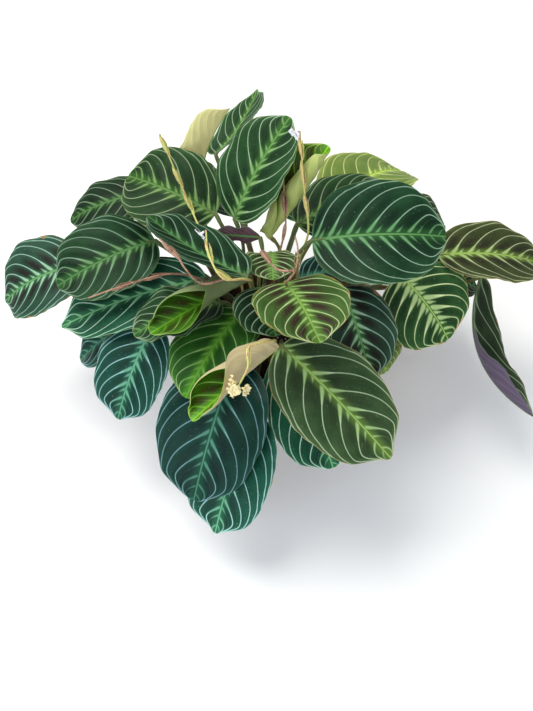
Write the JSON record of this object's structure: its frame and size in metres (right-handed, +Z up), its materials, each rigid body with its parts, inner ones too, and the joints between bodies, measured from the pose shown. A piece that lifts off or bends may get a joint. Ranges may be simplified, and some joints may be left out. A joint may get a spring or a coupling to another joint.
{
  "type": "potted maranta",
  "caption": "Potted maranta: broad dark leaves with pale feathered veins on their own stalks, thin flower stalks with small flowers, in soil in a plain round pot.",
  "frame": {"origin": "middle of the pot's foot, on the surface that the pot stands on", "axes": "+Z up; -Y is the plant's front, the side the picture was taken from; +X to the right as seen from the front"},
  "size_m": [0.4837, 0.4122, 0.2776],
  "materials": {
    "leaf": "satin dark green with pale veins, maroon below",
    "young_leaf": "satin, pale olive back and bright green face",
    "flower_stalk": "matt tan and yellow-green, with dry bracts",
    "petal": "soft white with violet marks",
    "soil": "loose, rough and dark, with bark and white grit",
    "pot": "smooth off-white, half gloss"
  },
  "bodies": {
    "root": {"pot": "pot", "soil": "soil", "leaf_back_tip": "leaf", "leaf_back_horn": "young_leaf", "leaf_back_tall": "leaf", "leaf_back_sliver": "leaf", "leaf_back_pale": "leaf", "leaf_back_furled": "young_leaf", "leaf_left_upper": "leaf", "leaf_left_behind": "leaf", "leaf_left_dark": "leaf", "leaf_left_big": "leaf", "leaf_left_far": "leaf", "leaf_left_lower": "leaf", "leaf_left_hidden": "leaf", "leaf_left_wavy": "leaf", "leaf_front_left": "leaf", "leaf_front_bright": "leaf", "leaf_front_big": "leaf", "leaf_front_lowest": "leaf", "leaf_front_furled": "young_leaf", "leaf_front_right_low": "leaf", "leaf_front_right": "leaf", "leaf_centre_furled": "young_leaf", "leaf_centre": "leaf", "leaf_centre_small": "leaf", "leaf_centre_edge": "leaf", "leaf_centre_blue": "leaf", "leaf_centre_low": "leaf", "leaf_right_big": "leaf", "leaf_right_upper": "leaf", "leaf_right_rim": "leaf", "leaf_right_dark": "leaf", "leaf_right_lower": "leaf", "leaf_right_under": "leaf", "leaf_right_far": "leaf", "leaf_right_hanging": "leaf", "leaf_right_low": "leaf", "leaf_rear_left": "leaf", "leaf_rear_middle_left": "leaf", "leaf_rear_middle_right": "leaf", "leaf_rear_right": "leaf", "leaf_side_left": "leaf", "leaf_side_right": "leaf", "flower_stalk_left": "flower_stalk", "flower_stalk_right": "flower_stalk", "flower_stalk_low": "flower_stalk", "flower_stalk_back": "flower_stalk", "flower_right_bloom": "petal", "flower_centre_bloom": "petal", "flower_front_bloom": "petal"}
  },
  "joints": []
}
